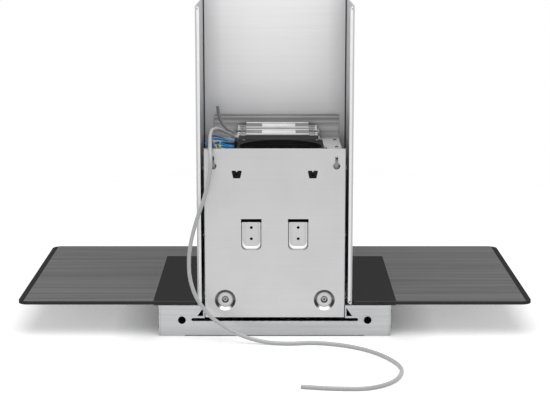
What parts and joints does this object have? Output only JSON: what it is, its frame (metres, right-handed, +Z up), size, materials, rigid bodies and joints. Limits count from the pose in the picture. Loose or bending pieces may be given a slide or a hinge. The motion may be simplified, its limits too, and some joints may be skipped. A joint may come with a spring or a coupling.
{
  "type": "range hood",
  "caption": "Wall mounted range hood: flat smoked glass hood plate on a low steel box, motor housing with blower and lamp drivers inside a folded chimney cover, hinged grease filter.",
  "frame": {"origin": "on the surface that the hood stands on, in the middle of the hood's width and depth (the free mains cord left out)", "axes": "+X to the right as seen from the wall, +Y away from the wall towards the cook, +Z up; the wall is the plane y = -0.225"},
  "size_m": [0.9, 0.7654, 0.575],
  "materials": {
    "brushed_steel": "fine brushed, satin",
    "galvanised_steel": "plain rolled sheet, satin",
    "smoked_glass": "polished, dark smoked",
    "black_foam": "matt",
    "black_plastic": "fine moulded grain",
    "fan_plastic": "moulded, satin",
    "screw_steel": "bright zinc",
    "motor_paint": "satin enamel",
    "capacitor_case": "smooth",
    "filter_aluminium": "satin, expanded net",
    "latch_plastic": "smooth",
    "lamp_chrome": "polished",
    "lamp_glass": "frosted",
    "lamp_body": "cast, ribless",
    "button_metal": "turned face",
    "board_green": "lacquered",
    "driver_case": "smooth moulded",
    "terminal_cream": "smooth moulded",
    "cord_grey": "smooth sheath",
    "lead_grey": "smooth sheath",
    "grommet_rubber": "matt",
    "wire_blue": "smooth insulation",
    "wire_dark_grey": "smooth insulation",
    "wire_violet": "smooth insulation",
    "wire_green_yellow": "striped insulation"
  },
  "bodies": {
    "root": {"button_fascia": "black_plastic", "cable_grey": "wire_dark_grey", "casing_screws": "screw_steel", "chimney_cover": "brushed_steel", "clamp_screws": "screw_steel", "control_box": "black_plastic", "control_box_lid": "black_plastic", "cord_boots": "cord_grey", "driver_bracket": "galvanised_steel", "glass_clamp_strips": "galvanised_steel", "glass_pad": "black_foam", "glass_panel": "smoked_glass", "glass_underplate": "brushed_steel", "hook_blocks": "black_plastic", "housing_back_plate": "galvanised_steel", "housing_ceiling": "galvanised_steel", "housing_screws": "screw_steel", "housing_wrap": "brushed_steel", "keyhole_cups": "galvanised_steel", "lamp_bezels": "lamp_chrome", "lamp_bodies": "lamp_body", "lamp_lenses": "lamp_glass", "led_driver_front": "driver_case", "led_driver_rear": "driver_case", "lower_casing": "brushed_steel", "lower_rear_wall": "galvanised_steel", "mains_cord": "cord_grey", "motor_body": "motor_paint", "motor_bracket": "galvanised_steel", "outlet_plate": "black_plastic", "outlet_screws": "screw_steel", "run_capacitor": "capacitor_case", "scroll_left": "black_plastic", "scroll_right": "black_plastic", "scroll_screws": "screw_steel", "short_lead": "lead_grey", "switch_board": "board_green", "terminal_blocks": "terminal_cream", "terminal_screws": "screw_steel", "underside_panel": "brushed_steel", "wire_connector": "black_plastic", "wire_earth": "wire_green_yellow", "wire_grommet": "grommet_rubber", "wire_violet": "wire_violet", "wires_blue": "wire_blue"},
    "rotor": {"fan_wheel": "fan_plastic", "motor_shaft": "screw_steel"},
    "flap_rear": {"flap_rear": "black_plastic"},
    "flap_front": {"flap_front": "black_plastic"},
    "filter": {"filter_frame": "filter_aluminium", "filter_mesh": "filter_aluminium"},
    "latch": {"filter_latch": "latch_plastic"},
    "button_off": {"button_off": "button_metal"},
    "button_low": {"button_low": "button_metal"},
    "button_medium": {"button_medium": "button_metal"},
    "button_high": {"button_high": "button_metal"},
    "button_light": {"button_light": "button_metal"}
  },
  "joints": [
    {"name": "fan_spin", "type": "hinge", "parent": "root", "child": "rotor", "pos_m": [0.01, -0.085, 0.16], "axis": [1, 0, 0], "continuous": true},
    {"name": "flap_rear_swing", "type": "hinge", "parent": "root", "child": "flap_rear", "pos_m": [0.01, -0.13, 0.3083], "axis": [-1, 0, 0], "range_deg": [0, 80]},
    {"name": "flap_front_swing", "type": "hinge", "parent": "root", "child": "flap_front", "pos_m": [0.01, -0.124, 0.3083], "axis": [1, 0, 0], "range_deg": [0, 80]},
    {"name": "filter_hinge", "type": "hinge", "parent": "root", "child": "filter", "pos_m": [0, -0.195, 0.008], "axis": [-1, 0, 0], "range_deg": [0, 65]},
    {"name": "latch_slide", "type": "slide", "parent": "filter", "child": "latch", "axis": [0, -1, 0], "range_m": [0, 0.005], "stiffness_N_per_m": 300},
    {"name": "button_off_press", "type": "slide", "parent": "root", "child": "button_off", "axis": [0, -1, 0], "range_m": [0, 0.0025], "stiffness_N_per_m": 400},
    {"name": "button_low_press", "type": "slide", "parent": "root", "child": "button_low", "axis": [0, -1, 0], "range_m": [0, 0.0025], "stiffness_N_per_m": 400},
    {"name": "button_medium_press", "type": "slide", "parent": "root", "child": "button_medium", "axis": [0, -1, 0], "range_m": [0, 0.0025], "stiffness_N_per_m": 400},
    {"name": "button_high_press", "type": "slide", "parent": "root", "child": "button_high", "axis": [0, -1, 0], "range_m": [0, 0.0025], "stiffness_N_per_m": 400},
    {"name": "button_light_press", "type": "slide", "parent": "root", "child": "button_light", "axis": [0, -1, 0], "range_m": [0, 0.0025], "stiffness_N_per_m": 400}
  ]
}
